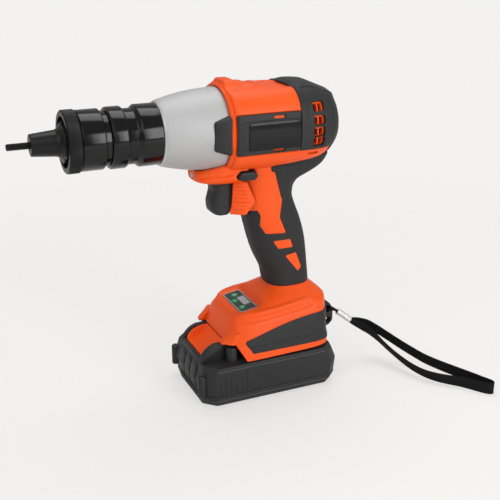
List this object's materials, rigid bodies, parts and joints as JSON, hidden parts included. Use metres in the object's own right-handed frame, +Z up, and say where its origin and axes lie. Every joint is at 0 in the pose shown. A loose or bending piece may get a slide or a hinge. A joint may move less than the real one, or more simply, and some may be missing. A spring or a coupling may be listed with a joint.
{
  "type": "battery rivet nut tool",
  "caption": "Pistol-grip battery rivet nut tool: silver gear case and stepped black nose with a threaded mandrel, rubber grip, trigger and slide-on battery base.",
  "frame": {"origin": "centre of the battery's flat base, on the floor", "axes": "+Z up, -X along the nose towards the mandrel's tip, -Y to the tool's left side when its user looks along the nose"},
  "size_m": [0.3447, 0.1407, 0.2463],
  "materials": {
    "orange_shell": "satin",
    "black_shell": "matte",
    "label_gloss": "gloss",
    "grip_rubber": "matte",
    "black_steel": "gloss",
    "black_alloy": "gloss",
    "silver_alloy": "satin",
    "bright_steel": "satin",
    "copper_wire": "satin",
    "circuit_board": "satin",
    "panel_face": "satin",
    "display_grey": "gloss",
    "button_green": "matte",
    "lens_clear": "gloss",
    "cell_can": "satin",
    "strap_fabric": "matte"
  },
  "bodies": {
    "housing": {"housing_left": "orange_shell", "housing_right": "orange_shell", "rear_cap": "black_shell", "side_panel_left": "black_shell", "side_panel_right": "black_shell", "label_plate": "label_gloss", "wedge_pad_left": "black_shell", "wedge_pad_right": "black_shell", "grip_left": "grip_rubber", "grip_right": "grip_rubber", "gear_housing": "silver_alloy", "ring_gear": "bright_steel", "motor_plate": "silver_alloy", "stator": "bright_steel", "stator_coils": "copper_wire", "hall_board": "circuit_board", "thrust_bearing": "bright_steel", "front_bearing": "bright_steel", "rear_bearing": "bright_steel", "nose_adapter": "black_alloy", "nose_sleeve": "black_alloy", "nosepiece": "black_steel", "trigger_switch": "black_shell", "trigger_spring": "bright_steel", "work_light": "lens_clear", "foot_bumper_left": "black_shell", "foot_bumper_right": "black_shell", "control_panel": "panel_face", "display_window": "display_grey", "control_board": "circuit_board", "terminal_block": "black_shell", "strap_lug": "black_shell", "housing_screws": "bright_steel", "cap_screws": "bright_steel", "strap_cord": "strap_fabric", "strap_ferrule": "silver_alloy", "strap_webbing": "strap_fabric"},
    "rotor": {"rotor": "bright_steel", "sun_gear": "bright_steel", "cooling_fan": "black_shell"},
    "carrier": {"planet_carrier": "bright_steel"},
    "planet_1": {"planet_gear_1": "bright_steel"},
    "planet_2": {"planet_gear_2": "bright_steel"},
    "planet_3": {"planet_gear_3": "bright_steel"},
    "puller": {"pull_shaft": "bright_steel", "mandrel_chuck": "bright_steel", "mandrel": "black_steel"},
    "lock_ring": {"front_lock_ring": "black_steel"},
    "stroke_ring": {"stroke_ring": "black_steel"},
    "trigger": {"trigger": "black_shell"},
    "selector": {"direction_selector": "black_shell"},
    "power_key": {"button_power": "button_green"},
    "less_key": {"button_less": "button_green"},
    "more_key": {"button_more": "button_green"},
    "battery": {"battery_lower_case": "black_shell", "battery_upper_case": "black_shell", "battery_cells": "cell_can", "battery_board": "circuit_board", "latch_spring": "bright_steel"},
    "latch": {"battery_latch": "orange_shell"}
  },
  "joints": [
    {"name": "rotor_spin", "type": "hinge", "parent": "housing", "child": "rotor", "pos_m": [0, 0, 0.211], "axis": [1, 0, 0], "continuous": true},
    {"name": "carrier_spin", "type": "hinge", "parent": "housing", "child": "carrier", "pos_m": [-0.06, 0, 0.211], "axis": [1, 0, 0], "continuous": true},
    {"name": "planet_1_spin", "type": "hinge", "parent": "carrier", "child": "planet_1", "pos_m": [-0.045, 0, 0.1975], "axis": [1, 0, 0], "continuous": true},
    {"name": "planet_2_spin", "type": "hinge", "parent": "carrier", "child": "planet_2", "pos_m": [-0.045, 0.01169, 0.21775], "axis": [1, 0, 0], "continuous": true},
    {"name": "planet_3_spin", "type": "hinge", "parent": "carrier", "child": "planet_3", "pos_m": [-0.045, -0.01169, 0.21775], "axis": [1, 0, 0], "continuous": true},
    {"name": "pull_stroke", "type": "slide", "parent": "carrier", "child": "puller", "axis": [1, 0, 0], "range_m": [0, 0.008]},
    {"name": "lock_ring_turn", "type": "hinge", "parent": "housing", "child": "lock_ring", "pos_m": [-0.14, 0, 0.211], "axis": [1, 0, 0], "continuous": true},
    {"name": "stroke_ring_turn", "type": "hinge", "parent": "housing", "child": "stroke_ring", "pos_m": [-0.109, 0, 0.211], "axis": [1, 0, 0], "continuous": true},
    {"name": "trigger_pull", "type": "slide", "parent": "housing", "child": "trigger", "axis": [1, 0, 0], "range_m": [0, 0.006], "stiffness_N_per_m": 500, "springref_m": -0.006, "deforming": ["trigger_spring"]},
    {"name": "direction_shift", "type": "slide", "parent": "housing", "child": "selector", "axis": [0, 1, 0], "range_m": [-0.0025, 0.0025]},
    {"name": "power_press", "type": "slide", "parent": "housing", "child": "power_key", "axis": [0.1736, 0, -0.9848], "range_m": [0, 0.0005], "stiffness_N_per_m": 1500, "springref_m": -0.0004},
    {"name": "less_press", "type": "slide", "parent": "housing", "child": "less_key", "axis": [0.1736, 0, -0.9848], "range_m": [0, 0.0005], "stiffness_N_per_m": 1500, "springref_m": -0.0004},
    {"name": "more_press", "type": "slide", "parent": "housing", "child": "more_key", "axis": [0.1736, 0, -0.9848], "range_m": [0, 0.0005], "stiffness_N_per_m": 1500, "springref_m": -0.0004},
    {"name": "battery_slide", "type": "slide", "parent": "housing", "child": "battery", "axis": [-1, 0, 0], "range_m": [0, 0.085]},
    {"name": "latch_press", "type": "slide", "parent": "battery", "child": "latch", "axis": [0, 0, -1], "range_m": [0, 0.003], "stiffness_N_per_m": 1200, "springref_m": -0.003, "deforming": ["latch_spring"]}
  ],
  "couplings": [
    {"joint": "carrier_spin", "follows": "rotor_spin", "ratio": 0.2},
    {"joint": "planet_1_spin", "follows": "rotor_spin", "ratio": -0.53333},
    {"joint": "planet_2_spin", "follows": "rotor_spin", "ratio": -0.53333},
    {"joint": "planet_3_spin", "follows": "rotor_spin", "ratio": -0.53333}
  ]
}
